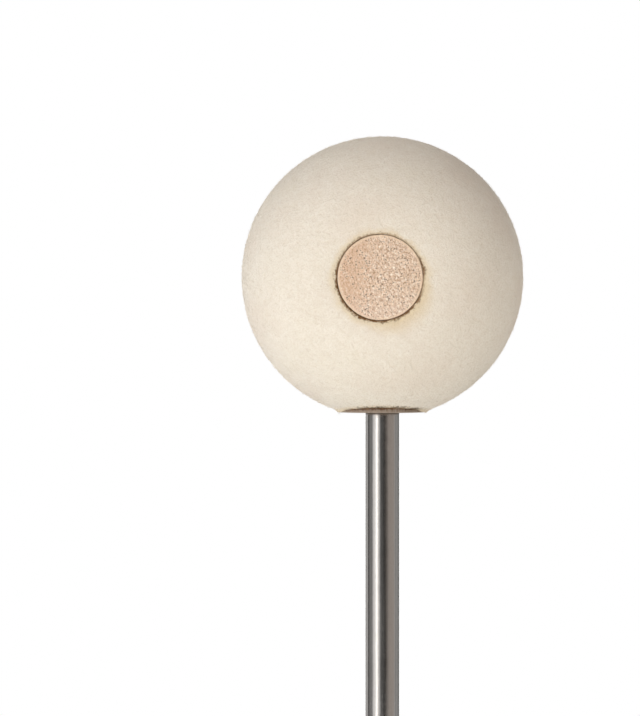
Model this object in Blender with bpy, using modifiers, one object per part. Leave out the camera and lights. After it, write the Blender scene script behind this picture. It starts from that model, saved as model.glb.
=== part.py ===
"""A bass drum beater: a turned felt head on a plain steel shaft.

The shaft's free end stands on the origin and the shaft runs up +Z. The head is a body of
revolution about a wooden core that lies along Y, with its round wooden face looking along -Y.
A second dowel, the neck plug, comes up into the head from below round the shaft, and its upper
end is coped to the core. The shaft's threaded spigot screws into a brass insert in the core.
"""

import bpy
from math import acos, atan2, cos, pi, radians, sin, sqrt

# Driving dimensions, in metres

HEAD_CENTRE_HEIGHT = 0.2170  # from the shaft's free end to the middle of the head
HEAD_DIAMETER = 0.0660  # the round outline seen from the front
HEAD_THICKNESS = 0.0460  # across the head, from face to face along the core
FELT_LIP = 0.0006  # rounding of the felt where it meets the wood

CORE_DIAMETER = 0.0200
CORE_INSET = 0.0002  # how far the core's faces lie below the felt's
CORE_ROOF = 0.0063  # wood left above the blind hole for the insert
NECK_DIAMETER = 0.0200
NECK_PROUD = 0.0006  # how far the neck plug stands out of the felt
NECK_SADDLE = 0.0040  # how far the neck plug's horns rise beside the core
WOOD_EDGE = 0.0004  # rounding of the turned wood's edges

SHAFT_DIAMETER = 0.0080
SHAFT_CHAMFER = 0.0010  # at the free end
SPIGOT_DIAMETER = 0.0060  # over the thread at the shaft's upper end
SPIGOT_CHAMFER = 0.0005
INSERT_WALL = 0.00145
INSERT_CHAMFER = 0.0004
SEAT_MARGIN = 0.0005  # how much wider the flat seat in the core is than what stands on it

CLEARANCE = 0.0003  # between pieces that touch

# Facets

ROUND_STEPS = 72
SHAFT_STEPS = 48
RIM_ARC_STEPS = 28
LIP_ARC_STEPS = 3
EDGE_STEPS = 2
SHARP_ANGLE = radians(35)

# Sizes that follow

head_radius = HEAD_DIAMETER / 2
rim_radius = HEAD_THICKNESS / 2
rim_centre = head_radius - rim_radius  # from the core's axis to the middle of the rim's arc
core_radius = CORE_DIAMETER / 2
core_bore = core_radius + CLEARANCE
core_mouth = core_bore + FELT_LIP
neck_radius = NECK_DIAMETER / 2
neck_bore = neck_radius + CLEARANCE
neck_mouth = neck_bore + FELT_LIP
shaft_radius = SHAFT_DIAMETER / 2
spigot_radius = SPIGOT_DIAMETER / 2
insert_bore = spigot_radius + CLEARANCE
insert_radius = insert_bore + INSERT_WALL
insert_hole = insert_radius + CLEARANCE
seat_radius = max(shaft_radius, insert_radius) + SEAT_MARGIN


def felt_face(radius):
    """How far from the head's middle plane its surface lies, at a distance from the core's axis."""
    past_centre = max(radius - rim_centre, 0)
    return sqrt(rim_radius**2 - past_centre**2)


def felt_underside(x, y):
    """How far below the head's centre its surface lies, under the point x, y."""
    rim_reach = rim_centre + sqrt(rim_radius**2 - y**2)
    return sqrt(rim_reach**2 - x**2)


# Levels along the shaft

head_z = HEAD_CENTRE_HEIGHT
neck_face_z = head_z - felt_underside(neck_mouth, 0) - NECK_PROUD
neck_top_z = head_z - core_radius + NECK_SADDLE
seat_z = head_z - sqrt(core_radius**2 - seat_radius**2)
insert_hole_top_z = head_z + core_radius - CORE_ROOF
insert_top_z = insert_hole_top_z - CLEARANCE
shoulder_z = seat_z - CLEARANCE
core_face = felt_face(core_mouth) - CORE_INSET


def clear_scene():
    for old in list(bpy.data.objects):
        bpy.data.objects.remove(old)


def new_collection(name):
    collection = bpy.data.collections.new(name)
    bpy.context.scene.collection.children.link(collection)
    return collection


def new_material(name, colour, roughness, metallic=0.0):
    material = bpy.data.materials.new(name)
    material.use_nodes = True
    shader = material.node_tree.nodes["Principled BSDF"]
    shader.inputs["Base Color"].default_value = (*colour, 1)
    shader.inputs["Roughness"].default_value = roughness
    shader.inputs["Metallic"].default_value = metallic
    material.diffuse_color = (*colour, 1)
    return material


def turned(name, profile, collection, steps=ROUND_STEPS, closed=False):
    """A profile of (radius, height) points turned about Z. It runs down the outer side."""
    edges = [(i, i + 1) for i in range(len(profile) - 1)]
    if closed:
        edges.append((len(profile) - 1, 0))
    mesh = bpy.data.meshes.new(name)
    mesh.from_pydata([(radius, 0, height) for radius, height in profile], edges, [])
    obj = bpy.data.objects.new(name, mesh)
    collection.objects.link(obj)
    screw = obj.modifiers.new("turn", "SCREW")
    screw.axis = "Z"
    screw.angle = 2 * pi
    screw.steps = steps
    screw.render_steps = steps
    screw.use_merge_vertices = True
    screw.merge_threshold = 0.00001
    return obj


def dowel(name, radius, length, collection):
    """A round rod about Z, centred on its own origin, with its two end edges rounded."""
    bpy.ops.mesh.primitive_cylinder_add(vertices=ROUND_STEPS, radius=radius, depth=length)
    obj = bpy.context.object
    obj.name = name
    for holder in list(obj.users_collection):
        holder.objects.unlink(obj)
    collection.objects.link(obj)
    bevel = obj.modifiers.new("rounded edges", "BEVEL")
    bevel.width = WOOD_EDGE
    bevel.segments = EDGE_STEPS
    bevel.limit_method = "ANGLE"
    bevel.angle_limit = radians(60)
    return obj


def as_cutter(obj):
    obj.hide_render = True
    obj.display_type = "WIRE"
    return obj


def cut(obj, cutter):
    boolean = obj.modifiers.new(cutter.name, "BOOLEAN")
    boolean.operation = "DIFFERENCE"
    boolean.solver = "EXACT"
    boolean.object = cutter


def baked(obj):
    """The object with its modifiers turned into mesh."""
    graph = bpy.context.evaluated_depsgraph_get()
    mesh = bpy.data.meshes.new_from_object(obj.evaluated_get(graph))
    mesh.name = obj.name
    obj.modifiers.clear()
    obj.data = mesh
    return obj


def finished(obj, material):
    """The piece as one mesh of its material, shaded smooth but for its crisp edges."""
    baked(obj)
    obj.data.shade_smooth()
    obj.data.set_sharp_from_angle(angle=SHARP_ANGLE)
    obj.data.materials.clear()
    obj.data.materials.append(material)
    return obj


def felt_lip(bore):
    """A quarter round from a bore's wall out to the felt's face, as (radius, depth below the face)."""
    for i in range(LIP_ARC_STEPS + 1):
        turn = pi / 2 * i / LIP_ARC_STEPS
        yield bore + FELT_LIP * (1 - cos(turn)), FELT_LIP * (1 - sin(turn))


def rim_arc(start):
    """The rim of the head, from its front face round to its back face."""
    for i in range(RIM_ARC_STEPS + 1):
        turn = start * (1 - 2 * i / RIM_ARC_STEPS)
        yield rim_centre + rim_radius * cos(turn), rim_radius * sin(turn)


def head_profile():
    """The felt's section through the core's axis, from the cross bore round to the bore again."""
    face = felt_face(core_mouth)
    past_centre = max(core_mouth - rim_centre, 0)
    front = [(radius, face - depth) for radius, depth in felt_lip(core_bore)]
    back = [(radius, -height) for radius, height in reversed(front)]
    rim = list(rim_arc(acos(past_centre / rim_radius)))
    if past_centre > 0:
        rim = rim[1:-1]  # its ends are already the ends of the lips
    return front + rim + back


def make_neck_cutter(cutters):
    """The neck bore, with a mouth whose rounded lip follows the turned head all the way round."""
    top = neck_top_z + CLEARANCE - head_z
    mouth = -head_radius
    bottom = -HEAD_DIAMETER
    lip = [(radius, mouth + depth) for radius, depth in felt_lip(neck_bore)]
    outside = neck_mouth + FELT_LIP
    profile = [(0, top), (neck_bore, top), *lip]
    profile += [(outside, mouth - FELT_LIP), (outside, bottom), (0, bottom)]
    cutter = baked(turned("neck_bore", profile, cutters))
    for vertex in cutter.data.vertices:
        if abs(vertex.co.z - mouth) > 2 * FELT_LIP:
            continue  # the bore's top and the cutter's bottom stay flat
        turn = atan2(vertex.co.y, vertex.co.x)
        saddle = felt_underside(neck_mouth * cos(turn), neck_mouth * sin(turn))
        vertex.co.z += head_radius - saddle
    cutter.location.z = head_z
    return as_cutter(cutter)


def make_felt_head(parts, neck_cutter, material):
    head = turned("felt_head", head_profile(), parts, closed=True)
    head.rotation_euler.x = pi / 2
    head.location.z = head_z
    cut(head, neck_cutter)
    return finished(head, material)


def make_cross_core(parts, cutters, material):
    core = dowel("cross_core", core_radius, 2 * core_face, parts)
    core.rotation_euler.x = pi / 2
    core.location.z = head_z
    profile = [
        (0, insert_hole_top_z),
        (insert_hole, insert_hole_top_z),
        (insert_hole, seat_z),
        (seat_radius, seat_z),
        (seat_radius, head_z - CORE_DIAMETER),
        (0, head_z - CORE_DIAMETER),
    ]
    cut(core, as_cutter(turned("insert_hole", profile, cutters, SHAFT_STEPS)))
    return finished(core, material)


def make_neck_plug(parts, cutters, material):
    length = neck_top_z - neck_face_z
    plug = dowel("neck_plug", neck_radius, length, parts)
    plug.location.z = neck_face_z + length / 2
    cope = dowel("neck_cope", core_bore, 2 * NECK_DIAMETER, cutters)
    cope.rotation_euler.x = pi / 2
    cope.location.z = head_z
    cut(plug, as_cutter(cope))
    bore = [
        (0, head_z),
        (shaft_radius + CLEARANCE, head_z),
        (shaft_radius + CLEARANCE, neck_face_z - length),
        (0, neck_face_z - length),
    ]
    cut(plug, as_cutter(turned("neck_shaft_bore", bore, cutters, SHAFT_STEPS)))
    return finished(plug, material)


def make_threaded_insert(parts, material):
    section = [
        (insert_bore, insert_top_z),
        (insert_radius - INSERT_CHAMFER, insert_top_z),
        (insert_radius, insert_top_z - INSERT_CHAMFER),
        (insert_radius, seat_z + INSERT_CHAMFER),
        (insert_radius - INSERT_CHAMFER, seat_z),
        (insert_bore, seat_z),
    ]
    insert = turned("threaded_insert", section, parts, SHAFT_STEPS, closed=True)
    return finished(insert, material)


def make_shaft(parts, material):
    profile = [
        (0, insert_top_z),
        (spigot_radius - SPIGOT_CHAMFER, insert_top_z),
        (spigot_radius, insert_top_z - SPIGOT_CHAMFER),
        (spigot_radius, shoulder_z),
        (shaft_radius, shoulder_z),
        (shaft_radius, SHAFT_CHAMFER),
        (shaft_radius - SHAFT_CHAMFER, 0),
        (0, 0),
    ]
    return finished(turned("shaft", profile, parts, SHAFT_STEPS), material)


def main():
    clear_scene()
    parts = new_collection("bass_drum_beater")
    cutters = new_collection("cutters")
    steel = new_material("drawn_steel", (0.52, 0.50, 0.48), 0.28, metallic=1.0)
    felt = new_material("pressed_felt", (0.78, 0.69, 0.57), 0.95)
    maple = new_material("maple", (0.66, 0.50, 0.38), 0.60)
    brass = new_material("brass", (0.75, 0.58, 0.30), 0.35, metallic=1.0)
    make_shaft(parts, steel)
    make_threaded_insert(parts, brass)
    make_cross_core(parts, cutters, maple)
    make_neck_plug(parts, cutters, maple)
    make_felt_head(parts, make_neck_cutter(cutters), felt)
    print(f"overall length {head_z + head_radius:.4f} m, bare shaft {neck_face_z:.4f} m")


main()
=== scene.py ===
# %% [markdown]
# A bass drum beater, dressed for its portrait
#
# A beater is a short hammer: a hard felt head, glued round a wooden core, on a steel rod that a
# pedal clamps. The solids of the part already have the true sizes, so this lesson only gives each
# piece its skin: drawn steel, end grain and pressed wool felt. The main sizes are read from the
# solids, so no piece has to be fitted by eye.

# %% Load the solids
import math

import bmesh
import bpy
from mathutils import Euler, Matrix, Vector


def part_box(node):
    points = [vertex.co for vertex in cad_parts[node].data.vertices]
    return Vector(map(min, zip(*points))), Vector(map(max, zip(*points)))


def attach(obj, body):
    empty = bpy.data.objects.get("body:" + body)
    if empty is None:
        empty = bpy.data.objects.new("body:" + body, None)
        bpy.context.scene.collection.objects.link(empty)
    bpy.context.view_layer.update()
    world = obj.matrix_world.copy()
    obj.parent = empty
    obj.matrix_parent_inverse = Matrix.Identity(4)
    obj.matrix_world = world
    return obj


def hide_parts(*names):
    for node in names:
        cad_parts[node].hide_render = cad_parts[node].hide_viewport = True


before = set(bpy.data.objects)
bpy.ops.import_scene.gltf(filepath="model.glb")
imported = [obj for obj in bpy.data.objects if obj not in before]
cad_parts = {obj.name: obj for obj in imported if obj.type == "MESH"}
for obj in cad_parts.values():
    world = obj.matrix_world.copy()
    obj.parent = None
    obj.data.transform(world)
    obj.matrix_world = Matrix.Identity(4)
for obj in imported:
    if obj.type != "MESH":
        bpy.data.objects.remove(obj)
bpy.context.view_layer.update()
MM = 0.001
print("solids:", ", ".join(sorted(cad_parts)))

# %% [markdown]
# The sizes of the pieces
#
# The head is turned about the wooden core, which lies along Y, and the shaft runs along Z. All the
# pieces are round, so a box round each solid gives its radius and its levels.

# %% Read the sizes
FIT = 0.3 * MM  # the gap between the solids
HUG = 0.04 * MM  # the felt grips its dowels, so the dressed bores are closer
FELT_LIP = 0.35 * MM  # rounding of the felt where it meets wood

head_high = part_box("felt_head")[1]
core_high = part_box("cross_core")[1]
neck_low, neck_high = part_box("neck_plug")
insert_low, insert_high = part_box("threaded_insert")
shaft_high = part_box("shaft")[1]

head_radius = head_high.x
head_z = head_high.z - head_radius
rim_radius = head_high.y
rim_centre = head_radius - rim_radius
core_radius = core_high.x
core_face = core_high.y
neck_radius = neck_high.x
neck_face_z = neck_low.z
neck_top_z = neck_high.z
shaft_radius = shaft_high.x

core_bore = core_radius + HUG
core_mouth = core_bore + FELT_LIP
neck_bore = neck_radius + HUG
neck_mouth = neck_bore + FELT_LIP
print(f"head {2000 * head_radius:.1f} mm across and {2000 * rim_radius:.1f} mm thick")
print(f"core {2000 * core_radius:.1f} mm, shaft {2000 * shaft_radius:.1f} mm")

# %% [markdown]
# The camera comes first
#
# The photograph looks straight at the wooden face, level with the head. The camera is turned a
# little left and down, rather than shifted, so that the head sits right of the middle and above it.

# %% Place the camera
PICTURE = (640, 716)  # pixels
HEAD_AT = (382.4, 277.1)  # where the middle of the head falls in the picture
HEAD_RADIUS_PX = 140.5  # how large the head is there
CAMERA_DISTANCE = 2.0  # metres from the head
CAMERA_AZIMUTH = math.radians(1.3)
CAMERA_ELEVATION = math.radians(0.2)
SENSOR = 36.0  # millimetres along the picture's long side

head_centre = Vector((0, 0, head_z))
focal_px = HEAD_RADIUS_PX / head_radius * CAMERA_DISTANCE
turn_left = math.atan((HEAD_AT[0] - PICTURE[0] / 2) / focal_px)
turn_down = math.atan((PICTURE[1] / 2 - HEAD_AT[1]) / focal_px)
to_camera = Vector((
    math.sin(CAMERA_AZIMUTH) * math.cos(CAMERA_ELEVATION),
    -math.cos(CAMERA_AZIMUTH) * math.cos(CAMERA_ELEVATION),
    math.sin(CAMERA_ELEVATION),
))
camera_data = bpy.data.cameras.new("portrait_camera")
camera_data.sensor_width = SENSOR
camera_data.lens = SENSOR * focal_px / max(PICTURE)
camera = bpy.data.objects.new("portrait_camera", camera_data)
bpy.context.scene.collection.objects.link(camera)
camera.location = head_centre + to_camera * CAMERA_DISTANCE
camera.rotation_mode = "QUATERNION"
aim = (-to_camera).to_track_quat("-Z", "Y")
camera.rotation_quaternion = aim @ Euler((-turn_down, turn_left, 0)).to_quaternion()
bpy.context.scene.camera = camera
print(f"lens {camera_data.lens:.0f} mm")

# %% [markdown]
# Shader maths as Python
#
# A finish is mostly arithmetic on patterns: this noise times that mask, plus a little of another.
# As loose nodes that is hard to read, so a small class wraps a socket and turns Python's own
# operators into Math nodes. A second class stands for one node tree and makes its other nodes.

# %% A number that varies over a surface
class Field:
    def __init__(self, tree, socket):
        self.tree = tree
        self.socket = socket

    def __add__(self, other):
        return self.tree.maths("ADD", self, other)

    def __sub__(self, other):
        return self.tree.maths("SUBTRACT", self, other)

    def __rsub__(self, other):
        return self.tree.maths("SUBTRACT", other, self)

    def __mul__(self, other):
        return self.tree.maths("MULTIPLY", self, other)

    def __truediv__(self, other):
        return self.tree.maths("DIVIDE", self, other)

    __radd__ = __add__
    __rmul__ = __mul__


# %% A node tree, and the way to every node in it
class Tree:
    def __init__(self, tree):
        self.nodes = tree.nodes
        self.links = tree.links

    def set(self, socket, value):
        if isinstance(value, Field):
            value = value.socket
        if isinstance(value, bpy.types.NodeSocket):
            self.links.new(value, socket)
        elif socket.type == "RGBA" and len(value) == 3:
            socket.default_value = (*value, 1)
        else:
            socket.default_value = value

    def node(self, kind, settings=None, sockets=None):
        made = self.nodes.new(kind)
        for name, value in (settings or {}).items():
            if name == "stops":
                self.set_stops(made.color_ramp.elements, value)
            else:
                setattr(made, name, value)
        for key, value in (sockets or {}).items():
            self.set(made.inputs[key], value)
        return made

    def set_stops(self, elements, stops):
        """Stops of a ramp, as (place from 0 to 1, colour)."""
        while len(elements) < len(stops):
            elements.new(1.0)
        for element, (place, colour) in zip(elements, stops):
            element.position = place
            element.color = (*colour, 1)

    def field(self, *args):
        """The first output of a node, as a number to calculate with."""
        return Field(self, self.node(*args).outputs[0])

    def maths(self, operation, a, b=0.0):
        return self.field("ShaderNodeMath", {"operation": operation}, {0: a, 1: b})

    def split(self, vector):
        parts = self.node("ShaderNodeSeparateXYZ", None, {0: vector})
        return [Field(self, parts.outputs[axis]) for axis in "XYZ"]

    def point(self, x, y, z):
        return self.node("ShaderNodeCombineXYZ", None, {0: x, 1: y, 2: z}).outputs[0]

    def away(self, a, b):
        """How far a point lies from an axis, from its two offsets."""
        return self.maths("SQRT", a * a + b * b)

    def ease(self, value, low, high, start=0.0, end=1.0):
        """start where the value is below low, end above high, and a smooth step between."""
        sockets = {0: value, 1: low, 2: high, 3: start, 4: end}
        return self.field("ShaderNodeMapRange", {"interpolation_type": "SMOOTHSTEP"}, sockets)

    def noise(self, at, waves, detail=2.0, roughness=0.5, distortion=0.0):
        """Clouds about 0.5, with this many waves to a metre."""
        sockets = {
            "Vector": at, "Scale": waves, "Detail": detail,
            "Roughness": roughness, "Distortion": distortion,
        }
        return self.field("ShaderNodeTexNoise", {"noise_dimensions": "3D"}, sockets)

    def strands(self, at, waves, detail=2.0, roughness=0.5, distortion=0.0):
        """Thin bright lines, 1 at their ridge, where clouds pass through their middle."""
        clouds = self.noise(at, waves, detail, roughness, distortion)
        return 1 - self.maths("ABSOLUTE", clouds * 2 - 1) * 4

    def cells(self, at, waves):
        """Distance to the nearest of many scattered points, 0 at the point itself."""
        sockets = {"Vector": at, "Scale": waves}
        return self.field("ShaderNodeTexVoronoi", {"feature": "F1"}, sockets)

    def blend(self, amount, a, b):
        """Colour a, turned into colour b by the amount."""
        sockets = {0: amount, 6: a, 7: b}
        return self.node("ShaderNodeMix", {"data_type": "RGBA"}, sockets).outputs[2]


# %% A finish is one material on one shader
class Finish(Tree):
    def __init__(self, name, **even):
        self.material = bpy.data.materials.new(name)
        self.material.use_nodes = True
        super().__init__(self.material.node_tree)
        self.shader = self.nodes["Principled BSDF"]
        self.paint(**even)

    def paint(self, **looks):
        for name, value in looks.items():
            self.set(self.shader.inputs[name.replace("_", " ")], value)

    def place(self):
        """The place of a point on the piece in metres, whole and as x, y and z."""
        at = self.node("ShaderNodeTexCoord").outputs["Object"]
        return at, *self.split(at)

    def relief(self, height, depth):
        """Raises the surface by height times depth in metres, for the light alone."""
        sockets = {"Height": height, "Distance": depth}
        self.paint(Normal=self.node("ShaderNodeBump", None, sockets).outputs[0])


# %% [markdown]
# Turning on the lathe
#
# Everything here is round, so one function does most of the modelling. It sweeps a profile of
# radius and height about Z and lists the points and faces itself, ring by ring. Blender's own Spin
# could do it, but the weld that has to follow orders the faces anew in each run, and the fibres
# that are scattered over them later would then never fall in the same places twice. No turned edge
# is truly sharp, so a second function rounds the corners of a profile with short curves.

# %% A lathe
def lathe(name, profile, steps, closed=False):
    """A profile of (radius, height) points, swept about Z. A closed one has a hole all through."""
    following = profile[1:] + profile[:1]
    area = sum(a[0] * b[1] - b[0] * a[1] for a, b in zip(profile, following))
    if area < 0:  # the profile runs so that the faces would point inwards
        profile = profile[::-1]
    points, rows = [], []
    for radius, height in profile:
        first = len(points)
        if radius == 0:
            points.append((0, 0, height))
            rows.append([first] * steps)
            continue
        for i in range(steps):
            turn = 2 * math.pi * i / steps
            points.append((radius * math.cos(turn), radius * math.sin(turn), height))
        rows.append(range(first, first + steps))
    faces = []
    for low, high in zip(rows, rows[1:] + rows[:1] if closed else rows[1:]):
        for i in range(steps):
            j = (i + 1) % steps
            corners = list(dict.fromkeys((low[i], low[j], high[j], high[i])))
            if len(corners) > 2:
                faces.append(corners)
    mesh = bpy.data.meshes.new(name)
    mesh.from_pydata(points, [], faces)
    obj = bpy.data.objects.new(name, mesh)
    bpy.context.scene.collection.objects.link(obj)
    return obj


# %% Rounded corners
def rounded(corners, sizes, steps=4):
    """The profile with each inner corner rounded by its own size."""
    profile = [corners[0]]
    for before, corner, after, size in zip(corners, corners[1:], corners[2:], sizes):
        corner = Vector(corner)
        start = corner + (Vector(before) - corner).normalized() * size
        end = corner + (Vector(after) - corner).normalized() * size
        for i in range(steps + 1):
            t = i / steps
            curve = start * (1 - t) ** 2 + corner * 2 * t * (1 - t) + end * t * t
            profile.append(tuple(curve))
    return profile + [corners[-1]]


# %% Plain mesh, and cutting
def baked(obj):
    """The object with its modifiers turned into plain mesh."""
    graph = bpy.context.evaluated_depsgraph_get()
    mesh = bpy.data.meshes.new_from_object(obj.evaluated_get(graph))
    obj.modifiers.clear()
    obj.data = mesh
    return obj


def cut(obj, cutter):
    """Takes the cutter's shape out of the object, and then removes the cutter."""
    boolean = obj.modifiers.new(cutter.name, "BOOLEAN")
    boolean.operation = "DIFFERENCE"
    boolean.solver = "EXACT"
    boolean.object = cutter
    baked(obj)
    bpy.data.objects.remove(cutter)


# %% Laying down, and finishing
def laid_along_y(obj):
    """Lays a turned piece down so that its axis is the core's."""
    obj.data.transform(Matrix.Translation(head_centre) @ Matrix.Rotation(math.pi / 2, 4, "X"))
    return obj


def finished(obj, finish, node=None, sharp=35):
    """Smooths all but the edges sharper than this angle, paints the piece and tells the frame."""
    obj.data.shade_smooth()
    obj.data.set_sharp_from_angle(angle=math.radians(sharp))
    obj.data.materials.clear()
    obj.data.materials.append(finish.material)
    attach(obj, "root")
    if node:
        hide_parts(node)
    triangles = sum(len(face.vertices) - 2 for face in obj.data.polygons)
    print(f"{obj.name}: {triangles} triangles")


# %% [markdown]
# The finish of the shaft: bright drawn steel
#
# The rod is drawn through a die, which leaves fine lines all along it, some brighter and some
# duller. A pattern that is stretched along Z gives those lines: it changes fast round the rod and
# hardly at all up it. The same lines feed colour, roughness and relief, because on real metal one
# scratch does all three. The free end is faced on a lathe, so its lines run in rings instead. Where
# the rod meets the head, a thin dark line of painted shade stands for the shadow of the joint.

# %% Drawn steel
DULL_STEEL = (0.43, 0.405, 0.385)
BRIGHT_STEEL = (0.67, 0.645, 0.62)
# painted shade for the shadow where the rod meets the head
PAINTED_JOINT_SHADE = (0.10, 0.08, 0.065)
CHAMFER = 1.0 * MM
RING_TURNS = 52000  # radians to a metre, which sets the lathe's rings 0.12 mm apart

steel = Finish("drawn_steel", Metallic=1.0)
at, x, y, z = steel.place()
fine = steel.noise(steel.point(x, y, z * 0.012), 5200, 3, 0.6)
broad = steel.noise(steel.point(x, y, z * 0.02), 900, 2, 0.5)
smudge = steel.noise(at, 60, 3, 0.55)
speckle = steel.noise(steel.point(x, y, z * 0.5), 3200, 2, 0.6)
sway = steel.noise(at, 240, 2, 0.5)
rings = steel.maths("SINE", (steel.away(x, y) - z * 0.8) * RING_TURNS)
end_face = steel.ease(z, CHAMFER - 0.05 * MM, CHAMFER + 0.05 * MM, 1, 0)
lines = fine * (1 - end_face) + (rings * 0.16 + 0.5) * end_face
tone = (lines - 0.5) * 0.45 + (broad - 0.5) * 0.20
tone = tone + (smudge - 0.5) * 0.14 + (speckle - 0.5) * 0.45 + 0.5
# painted shade: a thin dark band up the rod just below the head, for the shadow of the joint
joint_shade = steel.ease(z, neck_face_z - 0.7 * MM, neck_face_z - 0.1 * MM) * 0.75
bright = steel.blend(tone, DULL_STEEL, BRIGHT_STEEL)
steel.paint(Base_Color=steel.blend(joint_shade, bright, PAINTED_JOINT_SHADE))
steel.paint(Roughness=0.17 + (lines - 0.5) * 0.10 + (smudge - 0.5) * 0.08)
steel.relief(lines * 0.03 + sway, 0.05 * MM)
print(steel.material.name, "has", len(steel.nodes), "nodes")

# %% [markdown]
# The shaft
#
# The rod is 8 mm across. Its free end is chamfered so that it slides into the clamp, and a chamfer
# cut on a lathe still has a thin soft edge that glints. The spigot that screws into the head is
# turned too, though nobody sees it.

# %% Turn the shaft
STEEL_EDGE = 0.10 * MM
SPIGOT_RADIUS = 3.0 * MM
SPIGOT_CHAMFER = 0.5 * MM
SHAFT_STEPS = 160

shoulder_z = insert_low.z - FIT
shaft_profile = rounded(
    [
        (0, shaft_high.z),
        (SPIGOT_RADIUS - SPIGOT_CHAMFER, shaft_high.z),
        (SPIGOT_RADIUS, shaft_high.z - SPIGOT_CHAMFER),
        (SPIGOT_RADIUS, shoulder_z),
        (shaft_radius, shoulder_z),
        (shaft_radius, CHAMFER),
        (shaft_radius - CHAMFER, 0),
        (0, 0),
    ],
    [STEEL_EDGE] * 6,
)
finished(lathe("steel_shaft", shaft_profile, SHAFT_STEPS), steel, "shaft")

# %% [markdown]
# The finish of the core and the neck: bare hardwood
#
# Both are dowels cut square across, so their faces show end grain. The tree's rings cross the disc
# as faint bands, because its heart lay far outside the dowel. The vessels are open tubes along the
# grain, which a saw leaves as tiny dark pits, in loose clusters, and torn fibre beside them catches
# the light. On the side of the dowel the same vessels run as short lines. All of that is one
# pattern that changes fast across the dowel and slowly along it. The neck's face gets painted
# shade, darkest at the shaft, and the rounded corners are painted lighter on the core and darker on
# the neck, as painted highlight and painted shade.

# %% The pattern of the wood
ALONG = 0.04  # how fast the pattern changes along the grain, against across it
RING_WAVES = 2100  # radians to a metre, which sets the tree's rings 3 mm apart


class Wood(Finish):
    """Wood whose grain runs along Y or Z, with the tree's heart at a place across the grain."""

    def __init__(self, name, along, heart):
        super().__init__(name, Specular_IOR_Level=0.25)
        at, x, y, z = self.place()
        side, up, deep = (x, z - head_z, y) if along == "Y" else (x, y, z)
        self.across = side, up, deep
        grain = self.point(side, up, deep * ALONG)
        drift = self.noise(grain, 160, 2, 0.5)
        growth = self.away(side - heart[0], up - heart[1]) + (drift - 0.5) * (1.6 * MM)
        self.band = self.maths("SINE", growth * RING_WAVES) * 0.5 + 0.5
        self.cloud = self.noise(grain, 190, 3, 0.55)
        crowd = self.ease(self.cloud * 0.8 + self.band * 0.2, 0.36, 0.60)
        self.torn = self.noise(self.point(side + up * 0.25, up * 0.45, deep * ALONG), 2300, 4, 0.66)
        self.grit = self.noise(grain, 4600, 2, 0.7)
        pit_size = self.noise(grain, 2300, 1) * 0.65 - 0.17 + crowd * 0.18
        vessel = self.cells(grain, 1450) + (self.torn - 0.5) * 0.35 + (self.grit - 0.5) * 0.25
        crowded = self.ease(crowd, 0.0, 0.5, 0.12, 1.0)
        self.pit = self.ease(vessel, pit_size * 0.5, pit_size, 1, 0) * crowded
        self.lip = self.ease(vessel, pit_size, pit_size + 0.16, 1, 0) * crowd - self.pit
        dust = self.grit + (self.torn - 0.5) * 0.4 + (crowd - 0.5) * -0.06
        self.speck = self.ease(dust, 0.31, 0.41, 1, 0)
        smooth_right = self.ease(side, 4 * MM, 8 * MM, 1.0, 0.70)
        self.rough = self.ease(side - up * 0.2, -7 * MM, 0.0, 0.42, 1.05) * smooth_right
        bent = self.point(side * 0.8 + up * 0.3, up * 0.7, deep * ALONG)
        curl = self.strands(bent, 2500, 1, 0.5, 0.7)
        self.fleck = self.ease(curl + (self.torn - 0.5) * 1.6, 0.62, 1.0) * self.rough


# %% The colours of the wood
WOOD_SHADE = (0.470, 0.284, 0.176)
WOOD_LIGHT = (0.905, 0.704, 0.528)
WOOD_TAN = (0.690, 0.435, 0.280)
WOOD_PINK = (0.88, 0.71, 0.61)
TORN_FIBRE = (1.0, 0.93, 0.84)
PIT_LIP = (0.97, 0.86, 0.73)
SPECK = (0.190, 0.080, 0.032)
PIT = (0.120, 0.048, 0.018)


def grained(wood):
    """The colour of the bare wood, a little darker on the left and paler below."""
    side, up, deep = wood.across
    tone = 0.55 + ((wood.torn - 0.5) * 2.8 + (wood.grit - 0.5) * 4.8) * wood.rough
    tone = tone + (wood.band - 0.5) * 0.16 + (wood.cloud - 0.5) * 0.40
    colour = wood.blend(tone, WOOD_SHADE, WOOD_LIGHT)
    colour = wood.blend(wood.ease(side, -8 * MM, 2 * MM, 0.50, 0.0), colour, WOOD_TAN)
    colour = wood.blend(wood.ease(side * 0.1 - up, 1 * MM, 9 * MM, 0.0, 0.20), colour, WOOD_PINK)
    colour = wood.blend(wood.fleck * 0.90, colour, TORN_FIBRE)
    colour = wood.blend(wood.lip * 0.45, colour, PIT_LIP)
    colour = wood.blend(wood.speck * 0.85, colour, SPECK)
    return wood.blend(wood.pit * 0.80, colour, PIT)


# %% Bare hardwood with painted light and shade at its edge
# painted highlight on the core's rounded rim
CORE_RIM_HIGHLIGHT = (0.90, 0.71, 0.535)
# painted shade on the neck's side and rounded rim, under the felt
NECK_RIM_SHADE = (0.25, 0.20, 0.16)
BURNT_WOOD = (0.13, 0.056, 0.022)
# painted shade under the head, on the neck's face and side, darkest at the shaft
UNDER_HEAD_SHADE = (0.09, 0.062, 0.042)


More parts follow.
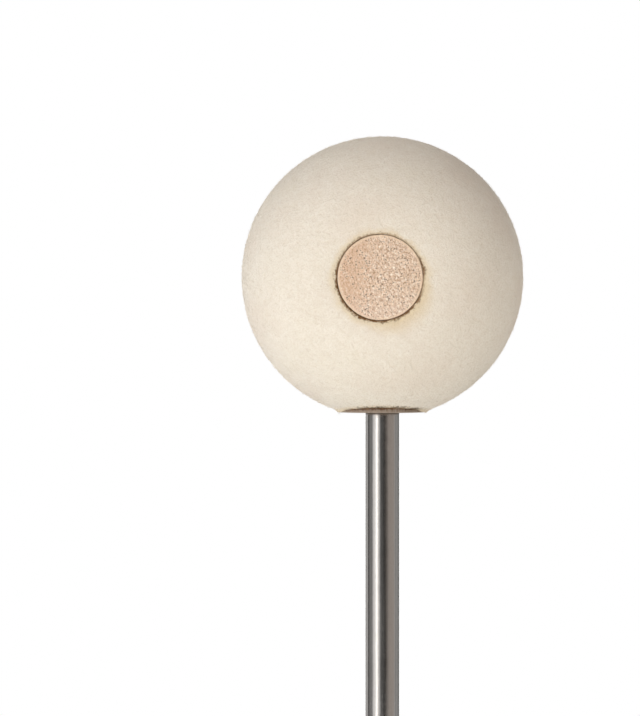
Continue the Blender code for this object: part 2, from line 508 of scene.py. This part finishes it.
def dowel_wood(name, along, heart, radius, edge_colour, burnt_above=None):
    """Hardwood whose corner is painted in the edge colour (painted highlight on the core, painted
    shade on the neck), on the neck with painted shade that darkens towards the shaft, and brown
    where the felt's burn touches it.
    """
    wood = Wood(name, along, heart)
    colour = grained(wood)
    side, up, deep = wood.across
    reach = wood.away(side, up)
    if burnt_above:
        # painted shade under the head, darkest at the shaft
        under_head_shade = wood.ease(reach, shaft_radius, radius, 0.85, 0.40)
        colour = wood.blend(under_head_shade, colour, UNDER_HEAD_SHADE)
    # the rounded corner is painted in the edge colour: painted highlight on the core, painted shade
    # on the neck
    edge = wood.ease(reach, radius - 0.85 * MM, radius - 0.30 * MM)
    ragged = wood.noise(wood.point(side, up, deep), 700, 3, 0.6)
    colour = wood.blend(edge * (0.40 + ragged * 0.6), colour, edge_colour)
    burnt_reach = reach + (ragged - 0.5) * (0.5 * MM)
    burnt = wood.ease(burnt_reach, radius - 0.12 * MM, radius + 0.02 * MM)
    if burnt_above:
        fringe = wood.noise(wood.point(side, up, deep * 0.25), 2600, 2, 0.6)
        level = deep + (ragged - 0.5) * (0.6 * MM) + (fringe - 0.5) * (1.4 * MM)
        burnt = burnt * wood.ease(level, burnt_above, burnt_above + 0.30 * MM)
    colour = wood.blend(burnt * 0.8, colour, BURNT_WOOD)
    wood.paint(Base_Color=colour, Roughness=0.62 + (ragged - 0.5) * 0.2)
    wood.relief(wood.torn * 0.7 + wood.grit * 0.5 + wood.fleck * 0.4, 0.045 * MM)
    return wood


CORE_HEART = (26 * MM, 31 * MM)
NECK_HEART = (-19 * MM, 24 * MM)
core_wood = dowel_wood("core_end_grain", "Y", CORE_HEART, core_radius, CORE_RIM_HIGHLIGHT)
burnt_above = neck_face_z + 0.60 * MM
neck_wood = dowel_wood("neck_grain", "Z", NECK_HEART, neck_radius, NECK_RIM_SHADE, burnt_above)
print("wood for the core and the neck:", core_wood.material.name, neck_wood.material.name)

# %% [markdown]
# The core
#
# The core is a dowel right through the head. It is turned, laid along Y and drilled from below for
# the brass insert, with a flat seat for the shaft's shoulder. Its two edges are only just broken.

# %% Turn and drill the core
WOOD_EDGE = 0.4 * MM
WOOD_STEPS = 240
EDGE_STEPS = 6
DRILL_STEPS = 96

core_profile = rounded(
    [(0, core_face), (core_radius, core_face), (core_radius, -core_face), (0, -core_face)],
    [WOOD_EDGE] * 2, EDGE_STEPS,
)
core = laid_along_y(lathe("wooden_core", core_profile, WOOD_STEPS))
hole_radius = insert_high.x + FIT
hole_top = insert_high.z + FIT
seat_radius = insert_high.x + 0.5 * MM
below_core = head_z - 2 * core_radius
drill_profile = [
    (0, hole_top),
    (hole_radius, hole_top),
    (hole_radius, insert_low.z),
    (seat_radius, insert_low.z),
    (seat_radius, below_core),
    (0, below_core),
]
cut(core, lathe("drill", drill_profile, DRILL_STEPS))
finished(core, core_wood, "cross_core")

# %% [markdown]
# The neck plug
#
# The second dowel rises round the shaft from below. Its upper end is coped, which means hollowed
# to fit the round core, so it is a bored dowel minus a cylinder along Y.

# %% Turn and cope the neck plug
BORE_EDGE = 0.15 * MM

shaft_bore = shaft_radius + FIT
neck_profile = rounded(
    [
        (shaft_bore, neck_top_z),
        (neck_radius, neck_top_z),
        (neck_radius, neck_face_z),
        (shaft_bore, neck_face_z),
        (shaft_bore, neck_face_z + 2 * MM),  # a point up the bore, so that its mouth is a corner
    ],
    [WOOD_EDGE, WOOD_EDGE, BORE_EDGE], EDGE_STEPS,
)
neck = lathe("neck_plug_wood", neck_profile, WOOD_STEPS, closed=True)
cope_radius = core_radius + FIT
cope_reach = neck_radius * 2
cope_profile = [
    (0, cope_reach), (cope_radius, cope_reach), (cope_radius, -cope_reach), (0, -cope_reach),
]
cut(neck, laid_along_y(lathe("cope", cope_profile, WOOD_STEPS)))
finished(neck, neck_wood, "neck_plug")

# %% [markdown]
# The brass insert
#
# The insert is out of sight inside the core. Its solid already has the right shape, so it stays as
# it is and only gets a finish: machined brass, with the tool's rings round it.

# %% Machined brass
TARNISHED_BRASS = (0.62, 0.45, 0.21)
BRIGHT_BRASS = (0.82, 0.64, 0.36)

brass = Finish("machined_brass", Metallic=1.0)
at, x, y, z = brass.place()
tool_rings = brass.noise(brass.point(x * 0.05, y * 0.05, z), 6000, 2, 0.5)
tarnish = brass.noise(at, 400, 3, 0.6)
brass.paint(Base_Color=brass.blend(tarnish, TARNISHED_BRASS, BRIGHT_BRASS))
brass.paint(Roughness=0.24 + tool_rings * 0.22)
brass.relief(tool_rings, 0.006 * MM)
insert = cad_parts["threaded_insert"]
insert.material_slots[0].material = brass.material
print("brass on", insert.name)

# %% [markdown]
# The finish of the head: pressed wool felt
#
# Hard felt is cream wool pressed into a block and turned on a lathe. Close up it is a mat of short
# fibres, so the pattern is built from thin strands at two scales over soft clouds at three, and a
# slower cloud tints the cream. The hole for the core was burnt or cut hot. Its edge is a ragged
# dark brown line, thick in some places and thin in others, inside a yellow scorch that fades within
# a few millimetres. Towards the lower left and the bottom the line is drawn heavier, and there it
# is painted shade of the groove round the core as well as burn. The mouth of the neck has the same
# burn. Both come from the distance to the bore's axis.

# %% Wool
WOOL_SHADE = (0.790, 0.700, 0.580)
WOOL_LIGHT = (0.940, 0.885, 0.790)
WOOL_PINK = (0.83, 0.72, 0.61)
WOOL_YELLOW = (0.86, 0.80, 0.66)

felt = Finish("pressed_wool_felt", Roughness=0.95, Sheen_Weight=0.06, Sheen_Roughness=0.5)
felt.paint(Sheen_Tint=(1.0, 0.97, 0.92), Specular_IOR_Level=0.15)
at, x, y, z = felt.place()
cloud = felt.noise(at, 105, 3, 0.55)
tint = felt.noise(felt.point(x + 0.4, y, z), 70, 2, 0.5)
tuft = felt.noise(at, 620, 4, 0.62, 0.4)
grain = felt.noise(at, 2700, 2, 0.6)
combed = felt.point(x * 0.75 + z * 0.35, y, z * 0.75 - x * 0.2)
long_strand = felt.strands(combed, 560, 3, 0.55, 1.1)
fine_strand = felt.strands(felt.point(x, y + 0.3, z), 1500, 3, 0.6, 0.8)
tone = (cloud - 0.5) * 0.20 + (tuft - 0.5) * 0.60 + (grain - 0.5) * 1.10
tone = tone + long_strand * 0.10 + fine_strand * 0.18 + 0.42
wool = felt.blend(tone, WOOL_SHADE, WOOL_LIGHT)
wool = felt.blend(felt.ease(tint, 0.50, 0.72) * 0.30, wool, WOOL_PINK)
wool = felt.blend(felt.ease(tint, 0.28, 0.50, 1, 0) * 0.25, wool, WOOL_YELLOW)

# %% The burn round the core
up = z - head_z
reach = felt.away(x, up)


def towards(degrees, width):
    """1 in one direction from the core's axis, fading to 0 at the width in degrees."""
    turn = math.radians(degrees)
    facing = (x * math.cos(turn) + up * math.sin(turn)) / reach
    return felt.ease(facing, math.cos(math.radians(width)), 1.0)


ragged = felt.noise(at, 1500, 3, 0.68, 0.6)
patchy = felt.noise(at, 260, 2, 0.5)
# the burn is heavier in some directions; towards the lower left and the bottom this is also painted
# shade of the groove round the core
heavier_burn_and_shade = towards(210, 72) + towards(264, 34) + towards(14, 17) * 0.9 + towards(124, 30) * 0.4
heavier_burn_and_shade = felt.maths("MINIMUM", heavier_burn_and_shade + towards(314, 32) * 0.9 + 0.06, 1.0)
burn_width = (0.12 + heavier_burn_and_shade * 0.24 + (patchy - 0.5) * 0.4) * MM
burn_edge = reach - core_bore - burn_width - (ragged - 0.5) * (0.9 + heavier_burn_and_shade * 1.5) * MM
core_burn_and_shade = felt.ease(burn_edge, -0.25 * MM, 0.50 * MM, 1, 0) * (0.60 + heavier_burn_and_shade * 0.42)
stain = towards(315, 65)
halo_width = (1.5 + heavier_burn_and_shade * 1.3 + stain * 2.6 + (patchy - 0.5) * 3.0) * MM
halo = felt.ease(reach - core_bore - (ragged - 0.5) * (2.0 * MM), 0.0, halo_width, 1, 0)
halo = halo * (0.62 + stain * 0.08)

# %% The burn round the neck
from_shaft = felt.away(x, y)
low = felt.ease(up, -0.6 * head_radius, -0.5 * head_radius, 1, 0)
right = felt.ease(x, -7.5 * MM, -1.5 * MM, 0.35, 1.0)
neck_width = (0.62 + (patchy - 0.4) * 0.8 + felt.ease(x, -3 * MM, 4 * MM) * 0.45) * MM
singed = felt.noise(felt.point(x, y * 0.3, z * 0.3), 3600, 2, 0.6)
neck_edge = from_shaft - neck_bore - neck_width
neck_edge = neck_edge - (ragged - 0.5) * (2.0 * MM) - (singed - 0.5) * (3.0 * MM)
sideways = felt.maths("ABSOLUTE", x) / from_shaft
in_front = felt.ease(sideways, 0.72, 0.88, 1.0, 0.15)
broken = felt.ease(patchy, 0.34, 0.50, 0.5, 1.0)
neck_burn = felt.ease(neck_edge, -0.2 * MM, 0.40 * MM, 1, 0) * low * right * in_front * broken
neck_halo = felt.ease(from_shaft - neck_bore, 0.0, 2.2 * MM, 1, 0) * low * 0.6

# %% Paint and relief of the felt
SCORCH = (0.745, 0.585, 0.350)
# the burn's colour, which towards the lower left also stands for painted shade in the groove
CORE_BURN_AND_SHADE = (0.150, 0.060, 0.012)
NECK_BURN = (0.115, 0.075, 0.046)

wool = felt.blend(felt.maths("MAXIMUM", halo, neck_halo), wool, SCORCH)
wool = felt.blend(core_burn_and_shade * 0.92, wool, CORE_BURN_AND_SHADE)
wool = felt.blend(neck_burn * 0.90, wool, NECK_BURN)
felt.paint(Base_Color=wool)
both_burns = felt.maths("MAXIMUM", core_burn_and_shade, neck_burn)
height = tuft * 1.2 + grain * 0.85 + long_strand * 0.30 + fine_strand * 0.30 - both_burns * 0.3
felt.relief(height, 0.10 * MM)
print(felt.material.name, "has", len(felt.nodes), "nodes")

# %% [markdown]
# The head
#
# The head is a ring turned about the core: a rounded lip at the bore, then one arc from face to
# face. The neck's bore is cut upwards into it, and its mouth is rounded like the other. That mouth
# lies on a curved surface, so the cutter's flared rim is lifted point by point to follow the felt.

# %% The curve of the felt
LIP_STEPS = 8


def felt_face(radius):
    """How far from the middle plane the felt lies, at a distance from the core's axis."""
    return math.sqrt(rim_radius**2 - max(radius - rim_centre, 0) ** 2)


def felt_underside(x, y):
    """How far below the head's centre the felt lies, under the point x, y."""
    reach = rim_centre + math.sqrt(rim_radius**2 - y**2)
    return math.sqrt(reach**2 - x**2)


def felt_lip(bore):
    """A quarter round from the bore's wall to the face, as (radius, depth below the face)."""
    for i in range(LIP_STEPS + 1):
        turn = math.pi / 2 * i / LIP_STEPS
        yield bore + FELT_LIP * (1 - math.cos(turn)), FELT_LIP * (1 - math.sin(turn))


# %% Turn the head
RIM_STEPS = 190
HEAD_STEPS = 320

lip_front = [(radius, felt_face(core_mouth) - depth) for radius, depth in felt_lip(core_bore)]
lip_back = [(radius, -height) for radius, height in reversed(lip_front)]
start = math.acos(max(core_mouth - rim_centre, 0) / rim_radius)
rim = []
for i in range(1, RIM_STEPS):
    turn = start * (1 - 2 * i / RIM_STEPS)
    rim.append((rim_centre + rim_radius * math.cos(turn), rim_radius * math.sin(turn)))
head = laid_along_y(lathe("felt_head_wool", lip_front + rim + lip_back, HEAD_STEPS, closed=True))

# %% Bore the head for the neck
mouth_z = -head_radius
bore_top = neck_top_z + FIT - head_z
flare = neck_mouth + FELT_LIP
below_head = -2 * head_radius
cutter_profile = [(0, bore_top), (neck_bore, bore_top)]
cutter_profile += [(radius, mouth_z + depth) for radius, depth in felt_lip(neck_bore)]
cutter_profile += [(flare, mouth_z - FELT_LIP), (flare, below_head), (0, below_head)]
cutter = lathe("neck_cutter", cutter_profile, WOOD_STEPS)
for vertex in cutter.data.vertices:
    if abs(vertex.co.z - mouth_z) < 2 * FELT_LIP:
        turn = math.atan2(vertex.co.y, vertex.co.x)
        drop = felt_underside(neck_mouth * math.cos(turn), neck_mouth * math.sin(turn))
        vertex.co.z += head_radius - drop
cutter.data.transform(Matrix.Translation(head_centre))
cut(head, cutter)
print("head bored:", len(head.data.vertices), "points")

# %% [markdown]
# The collar
#
# The felt was pressed round the plug, so left and right of it the edge of the felt reaches a little
# lower than the curve of the head. The points there move down, less and less with the distance.

# %% Press the felt down beside the neck
COLLAR_DEPTH = 0.42 * MM
COLLAR_WIDTH = 0.9 * MM


def eased(t):
    """0 below 0, 1 above 1, and a smooth step between."""
    t = min(max(t, 0), 1)
    return t * t * (3 - 2 * t)


collar = []
for vertex in head.data.vertices:
    from_shaft = math.hypot(vertex.co.x, vertex.co.y)
    underneath = vertex.co.z < head_z - 0.9 * head_radius
    if underneath and from_shaft < neck_mouth + COLLAR_WIDTH:
        collar.append(vertex)
for vertex in collar:
    from_shaft = math.hypot(vertex.co.x, vertex.co.y)
    near = eased((neck_mouth + COLLAR_WIDTH - from_shaft) / COLLAR_WIDTH)
    sideways = eased((abs(vertex.co.x) / from_shaft - 0.80) / 0.15)
    vertex.co.z -= COLLAR_DEPTH * near * sideways
print("collar:", len(collar), "points pressed down")

# %% [markdown]
# Geometry Nodes in Python
#
# Felt is never quite smooth, and its surface is covered with fibres that can't be placed by hand.
# Both follow the surface, which is what Geometry Nodes are for. One class builds such a tree: it
# names the inputs, makes the nodes, and turns the result into plain mesh.

# %% A recipe for geometry
class Recipe(Tree):
    SOCKETS = {
        float: "Float", int: "Int", bpy.types.Object: "Object", bpy.types.Material: "Material",
    }

    def __init__(self, name, **inputs):
        self.group = bpy.data.node_groups.new(name, "GeometryNodeTree")
        super().__init__(self.group)
        self.values = inputs
        sockets = self.group.interface
        sockets.new_socket("Geometry", in_out="INPUT", socket_type="NodeSocketGeometry")
        sockets.new_socket("Geometry", in_out="OUTPUT", socket_type="NodeSocketGeometry")
        for title, value in inputs.items():
            kind = "NodeSocket" + self.SOCKETS[type(value)]
            sockets.new_socket(title.replace("_", " "), in_out="INPUT", socket_type=kind)
        self.given = self.node("NodeGroupInput").outputs

    def end(self, geometry):
        """Ends the tree in real geometry that carries its material."""
        real = self.node("GeometryNodeRealizeInstances", None, {0: geometry}).outputs[0]
        sockets = {"Geometry": real, "Material": self.given["Material"]}
        last = self.node("GeometryNodeSetMaterial", None, sockets).outputs[0]
        self.node("NodeGroupOutput", None, {0: last})

    def scaled(self, vector, length):
        """A vector times a number."""
        sockets = {0: vector, "Scale": length}
        return self.node("ShaderNodeVectorMath", {"operation": "SCALE"}, sockets).outputs[0]

    def moved(self, geometry, offset):
        """The geometry with each point moved by its own offset."""
        sockets = {"Geometry": geometry, "Offset": offset}
        return self.node("GeometryNodeSetPosition", None, sockets).outputs[0]

    def make(self, obj):
        """Runs the tree on the object and leaves plain mesh."""
        modifier = obj.modifiers.new(self.group.name, "NODES")
        modifier.node_group = self.group
        for item in self.group.interface.items_tree:
            key = item.name.replace(" ", "_")
            if item.in_out == "INPUT" and key in self.values:
                modifier[item.identifier] = self.values[key]
        return baked(obj)


# %% [markdown]
# The uneven surface of the felt
#
# A lathe tool drags on felt, so the head is a few hundredths of a millimetre out of round, with
# soft lumps. The first tree moves every point along its normal by two layers of noise.

# %% Make the head uneven
lumps = Recipe(
    "felt_lumps", Lump_Depth=0.11 * MM, Lump_Waves=130.0, Tuft_Depth=0.035 * MM, Tuft_Waves=700.0,
    Material=felt.material,
)
place = lumps.node("GeometryNodeInputPosition").outputs[0]
big = lumps.noise(place, lumps.given["Lump Waves"], 2, 0.5)
small = lumps.noise(place, lumps.given["Tuft Waves"], 2, 0.6)
shift = (big - 0.5) * Field(lumps, lumps.given["Lump Depth"])
shift = shift + (small - 0.5) * Field(lumps, lumps.given["Tuft Depth"])
normal = lumps.node("GeometryNodeInputNormal").outputs[0]
lumps.end(lumps.moved(lumps.given[0], lumps.scaled(normal, shift)))
lumps.make(head)
finished(head, felt, "felt_head", 40)

# %% [markdown]
# The nap
#
# Loose ends of wool stand a few tenths of a millimetre off the surface and soften the outline. Each
# is a bent sliver of ten triangles. The second tree scatters points over the felt, turns a sliver
# to the surface's normal, then spins it and lays it over by random angles with a fixed seed.

# %% One fibre
FIBRE_LENGTH = 1.0 * MM
FIBRE_RADIUS = 0.022 * MM


def fibre(name, bend, fibre_radius):
    """A sliver along Z with a three-sided foot, a bent waist and a pointed end."""
    shape = bmesh.new()
    rings = []
    for height, shift, width in ((0, 0, 1.0), (0.5, bend * 0.3, 0.8)):
        ring = []
        for i in range(3):
            turn = 2 * math.pi * i / 3
            x = shift * FIBRE_LENGTH + width * fibre_radius * math.cos(turn)
            y = width * fibre_radius * math.sin(turn)
            ring.append(shape.verts.new((x, y, height * FIBRE_LENGTH)))
        rings.append(ring)
    foot, waist = rings
    tip = shape.verts.new((bend * FIBRE_LENGTH, 0, FIBRE_LENGTH))
    for i in range(3):
        j = (i + 1) % 3
        shape.faces.new((foot[i], foot[j], waist[j], waist[i]))
        shape.faces.new((waist[i], waist[j], tip))
    shape.faces.new(reversed(foot))
    mesh = bpy.data.meshes.new(name)
    shape.to_mesh(mesh)
    shape.free()
    obj = bpy.data.objects.new(name, mesh)
    bpy.context.scene.collection.objects.link(obj)
    return obj


# %% A tree that plants fibres
SINK = 0.04 * MM  # how deep a foot goes into the felt


def planted(name, finish, source, keep, density, seed, length, lean):
    """Fibres on the kept faces of the head, as one plain mesh.

    The density is in fibres to a square metre, the length in times the sliver's own and the lean
    in degrees off upright, both from least to most.
    """
    nap = Recipe(
        name, Fibre=source, Density=density, Seed=seed, Shortest=length[0], Longest=length[1],
        Least_Lean=math.radians(lean[0]), Most_Lean=math.radians(lean[1]), Material=finish.material,
    )
    given = nap.given
    place = nap.node("GeometryNodeInputPosition").outputs[0]
    sockets = {
        0: given[0], "Selection": keep(nap, *nap.split(place)),
        "Density": given["Density"], "Seed": given["Seed"],
    }
    points = nap.node("GeometryNodeDistributePointsOnFaces", None, sockets).outputs

    def random(low, high, offset):
        sockets = {2: low, 3: high, "Seed": offset}
        return nap.node("FunctionNodeRandomValue", {"data_type": "FLOAT"}, sockets).outputs[1]

    spin = nap.point(0.0, 0.0, random(0.0, 2 * math.pi, 1))
    lean_over = nap.point(0.0, random(given["Least Lean"], given["Most Lean"], 2), 0.0)
    local = {"rotation_space": "LOCAL"}
    turned = points["Rotation"]
    for angles in (spin, lean_over):
        step = nap.node("FunctionNodeEulerToRotation", None, {0: angles}).outputs[0]
        turned = nap.node("FunctionNodeRotateRotation", local, {0: turned, 1: step}).outputs[0]
    size = random(given["Shortest"], given["Longest"], 3)
    rooted = nap.moved(points["Points"], nap.scaled(points["Normal"], -SINK))
    sliver = nap.node("GeometryNodeObjectInfo", None, {"Object": given["Fibre"]})
    sockets = {
        "Points": rooted, "Instance": sliver.outputs["Geometry"], "Rotation": turned,
        "Scale": nap.point(1.0, 1.0, size),
    }
    nap.end(nap.node("GeometryNodeInstanceOnPoints", None, sockets).outputs[0])
    grown = bpy.data.objects.new(name, head.data.copy())
    bpy.context.scene.collection.objects.link(grown)
    return nap.make(grown)


# %% Plant the nap
NAP_DENSITY = 3.1e6
NAP_LENGTH = (0.5, 1.5)
NAP_LEAN = (62, 86)


def clear_of_core(nap, x, z):
    return nap.maths("GREATER_THAN", nap.away(x, z - head_z), core_mouth + 0.1 * MM)


def on_front(nap, x, y, z):
    return clear_of_core(nap, x, z) * nap.maths("LESS_THAN", y, 0.0)


def on_back(nap, x, y, z):
    return clear_of_core(nap, x, z) * nap.maths("GREATER_THAN", y, 0.0)


wool_fibre = fibre("wool_fibre", 0.22, FIBRE_RADIUS)
for name, keep, seed in (("felt_nap_front", on_front, 11), ("felt_nap_back", on_back, 29)):
    nap = planted(name, felt, wool_fibre, keep, NAP_DENSITY, seed, NAP_LENGTH, NAP_LEAN)
    finished(nap, felt)
bpy.data.objects.remove(wool_fibre)

# %% [markdown]
# Burnt fibres
#
# Round both bores the wool ends are charred. Beside the core they lie in small dark tufts, and
# under the head they hang over the neck plug as a ragged fringe. They are slivers of the same kind,
# shorter and thicker, planted on the rounded lips in a darker finish.

# %% Charred wool
CHAR_DARK = (0.075, 0.030, 0.008)
CHAR_LIGHT = (0.45, 0.285, 0.145)

char = Finish("charred_wool", Roughness=0.9, Specular_IOR_Level=0.2)
at, x, y, z = char.place()
ash = char.ease(char.noise(at, 1100, 3, 0.6), 0.30, 0.70)
char.paint(Base_Color=char.blend(ash, CHAR_DARK, CHAR_LIGHT))
char.relief(ash, 0.02 * MM)
print(char.material.name, "has", len(char.nodes), "nodes")


# %% Plant the burnt fibres
def on_core_lips(nap, x, y, z):
    up = z - head_z
    reach = nap.away(x, up)
    # more charred tufts towards the lower left, where they also stand for the shade in the groove
    # round the core
    shade_side_tufts = nap.ease((x * -0.75 - up * 0.55) / reach, -0.6, 0.5) * 0.30
    near = nap.ease(reach, core_mouth - 0.1 * MM, core_mouth + 0.5 * MM, 1, 0)
    near = near * nap.ease(nap.maths("ABSOLUTE", y), core_face - 0.5 * MM, core_face)
    chance = nap.noise(nap.point(x, y, z), 620, 2, 0.5) + shade_side_tufts
    return nap.maths("GREATER_THAN", near * chance, 0.53)


def on_neck_lip(nap, x, y, z):
    from_shaft = nap.away(x, y)
    near = nap.ease(from_shaft, neck_mouth - 0.05 * MM, neck_mouth + 0.25 * MM, 1, 0)
    near = near * nap.maths("LESS_THAN", z, neck_face_z + 5 * MM)
    near = near * nap.ease(nap.maths("ABSOLUTE", x) / from_shaft, 0.68, 0.80, 1, 0)
    chance = nap.noise(nap.point(x, y, z), 420, 2, 0.5) + nap.ease(x, -6 * MM, 2 * MM, 0.05, 0.20)
    return nap.maths("GREATER_THAN", near * chance, 0.50)


tuft_fibre = fibre("tuft_fibre", 0.30, 2 * FIBRE_RADIUS)
for name, keep, density, seed, length, lean in (
    ("burnt_fibres", on_core_lips, 13e6, 5, (0.15, 0.50), (40, 88)),
    ("burnt_fringe", on_neck_lip, 26e6, 17, (0.30, 0.95), (5, 70)),
):
    burnt = planted(name, char, tuft_fibre, keep, density, seed, length, lean)
    finished(burnt, char)
bpy.data.objects.remove(tuft_fibre)

# %% [markdown]
# The light and the surroundings
#
# The portrait was lit like any small product: soft light from the upper left, a tall softbox at
# the front left, white paper on the table and the dark room behind the camera. Felt only shows the
# balance of these, but the polished rod shows each as a stripe. So the world is painted as two
# rings of brightness by compass direction, grey but for one warm wall, and a dark ceiling. To the
# camera the world is plain white.

# %% Paint the world
HORIZON = (  # degrees round from the camera to the right, and the brightness at the horizon
    (-180, 0.15), (-144, 0.15), (-132, 0.90), (-120, 0.55), (-108, 0.02), (-96, 0.25), (-72, 0.25),
    (-60, 1.07), (-48, 1.13), (-36, 0.06), (-24, 1.10), (-12, 0.11), (0, 0.11), (12, 0.02),
    (24, 0.05), (36, 0.20), (48, 0.38), (84, 0.40), (96, 0.48), (108, 0.24), (120, 0.57),
    (132, 0.20), (144, 0.15), (180, 0.15),
)
UPPER = (  # the same for what stands above it
    (-180, 0.25), (-120, 0.25), (-90, 0.68), (-60, 0.70), (-30, 0.26), (0, 0.28), (30, 0.78),
    (60, 0.50), (90, 0.46), (120, 0.88), (150, 0.25), (180, 0.25),
)
OVERHEAD = (0.03, 0.03, 0.03)
WHITE = (1.0, 1.0, 1.0)
WARM_WHITE = (1.10, 0.99, 0.91)
WARM_WALL = (20, 90)  # the degrees between which the ring is a warm white


def room(ring):
    """A ring's levels as the stops of a colour ramp."""
    stops = []
    for degrees, level in ring:
        tint = WARM_WHITE if WARM_WALL[0] < degrees < WARM_WALL[1] else WHITE
        stops.append((degrees / 360 + 0.5, [level * channel for channel in tint]))
    return stops


# %% Join the rings into a world
world = bpy.data.worlds.new("studio")
world.use_nodes = True
bpy.context.scene.world = world
sky = Tree(world.node_tree)
sky.nodes.clear()
x, y, z = sky.split(sky.node("ShaderNodeTexCoord").outputs["Generated"])
turn = sky.maths("ARCTAN2", x, 0 - y) / (2 * math.pi) + 0.5
height = sky.maths("ARCSINE", z) * (180 / math.pi)  # degrees above the horizon
horizon = sky.node("ShaderNodeValToRGB", {"stops": room(HORIZON)}, {0: turn}).outputs[0]
upper = sky.node("ShaderNodeValToRGB", {"stops": room(UPPER)}, {0: turn}).outputs[0]
surround = sky.blend(sky.ease(height, 4, 18), horizon, upper)
surround = sky.blend(sky.ease(height, 38, 65), surround, OVERHEAD)
lit = sky.node("ShaderNodeBackground", None, {"Color": surround}).outputs[0]
white = sky.node("ShaderNodeBackground", None, {"Color": WHITE}).outputs[0]
to_eye = sky.node("ShaderNodeLightPath").outputs["Is Camera Ray"]
seen = sky.node("ShaderNodeMixShader", None, {0: to_eye, 1: lit, 2: white}).outputs[0]
sky.node("ShaderNodeOutputWorld", None, {0: seen})
print("world:", len(HORIZON) + len(UPPER), "levels round the object")

# %% [markdown]
# The lamps
#
# A softbox is an even white sheet, so an area lamp stands for it. Its power is worked out from its
# size, so that each sheet has the brightness that is written here. White paper on the table throws
# light back up at the felt, which two more sheets stand for. The last softbox is behind the object
# and doesn't reach the side that the camera sees.

# %% A sheet of light
LAMP_DISTANCE = 0.9  # metres from the head
TABLE_HEIGHT = 0.006  # metres above the floor, where the table's two sheets lie


def sheet_of_light(name, place, facing, size, brightness):
    """An area lamp of this width and height in metres, with its brightness in each colour."""
    lamp = bpy.data.lights.new(name, "AREA")
    lamp.shape = "RECTANGLE"
    lamp.size, lamp.size_y = size
    brightest = max(brightness)
    lamp.color = [channel / brightest for channel in brightness]
    lamp.energy = brightest * math.pi * size[0] * size[1]
    obj = bpy.data.objects.new(name, lamp)
    bpy.context.scene.collection.objects.link(obj)
    obj.location = place
    obj.rotation_mode = "QUATERNION"
    obj.rotation_quaternion = Vector(facing).to_track_quat("-Z", "Y")
    obj.visible_camera = False
    print(f"{name}: {lamp.energy:.1f} W")


def softbox(name, azimuth, elevation, size, brightness):
    """A sheet that faces the head, from the camera's side or round from it."""
    turn, rise = math.radians(azimuth), math.radians(elevation)
    level = math.cos(rise)
    out = Vector((math.sin(turn) * level, -math.cos(turn) * level, math.sin(rise)))
    sheet_of_light(name, head_centre + out * LAMP_DISTANCE, -out, size, brightness)


def table_sheet(name, x, y, size, brightness):
    """A sheet that lies just over the floor and shines upwards."""
    sheet_of_light(name, (x, y, TABLE_HEIGHT), (0, 0, 1), size, brightness)


# %% Hang the lamps
softbox("tall_softbox", -37, 0, (0.22, 0.90), (1.96, 1.92, 1.85))
softbox("high_left", -48, 30, (0.5, 0.5), (3.40, 3.32, 3.28))
softbox("high_right", 50, 34, (0.5, 0.5), (1.04, 0.97, 0.94))
softbox("behind", 180, 12, (0.8, 0.8), (1.3, 1.3, 1.3))
table_sheet("table_front", 0.03, -0.33, (0.6, 0.44), (1.10, 1.08, 0.98))
table_sheet("table_left", -0.36, 0.05, (0.44, 0.6), (0.36, 0.38, 0.43))

# %% [markdown]
# The floor
#
# A sheet of pale paper lies under the shaft and takes its shadow. The camera and the metal see it
# partly as a white that gives its own light, and further out as that white alone, so no edge or
# horizon shows.

# %% Lay the floor
FLOOR_RADIUS = 1.0
FLOOR_STEPS = 96

sheet = bmesh.new()
bmesh.ops.create_circle(sheet, cap_ends=True, segments=FLOOR_STEPS, radius=FLOOR_RADIUS)
floor_mesh = bpy.data.meshes.new("floor")
sheet.to_mesh(floor_mesh)
sheet.free()
floor = bpy.data.objects.new("floor", floor_mesh)
bpy.context.scene.collection.objects.link(floor)

# %% White paper
PAPER_SHADE = (0.86, 0.86, 0.86)
PAPER_LIGHT = (0.90, 0.90, 0.90)
FADE_START, FADE_END = 0.20, 0.75  # metres from the shaft, between which the paper fades away
GLOW_AT_SHAFT = 0.40  # how much of the glowing white is seen before it fades

paper = Finish("white_paper", Roughness=0.9, Specular_IOR_Level=0.1)
at, x, y, z = paper.place()
paper.paint(Base_Color=paper.blend(paper.noise(at, 900, 3, 0.6), PAPER_SHADE, PAPER_LIGHT))
rays = paper.node("ShaderNodeLightPath").outputs
sees = Field(paper, rays["Is Camera Ray"]) + Field(paper, rays["Is Glossy Ray"])
sees = paper.maths("MINIMUM", sees + Field(paper, rays["Is Transmission Ray"]), 1.0)
faded = paper.ease(paper.away(x, y), FADE_START, FADE_END, GLOW_AT_SHAFT, 1.0)
glow = paper.node("ShaderNodeEmission", None, {"Color": WHITE, "Strength": 1.0}).outputs[0]
sockets = {0: sees * faded, 1: paper.shader.outputs[0], 2: glow}
mixed = paper.node("ShaderNodeMixShader", None, sockets).outputs[0]
paper.links.new(mixed, paper.nodes["Material Output"].inputs[0])
floor.data.materials.append(paper.material)
print(f"floor {2 * FLOOR_RADIUS:.0f} m across")

# %% [markdown]
# The view transform
#
# The view transform is Standard, which shows each colour as it is written.

# %% Finish
bpy.context.scene.view_settings.view_transform = "Standard"
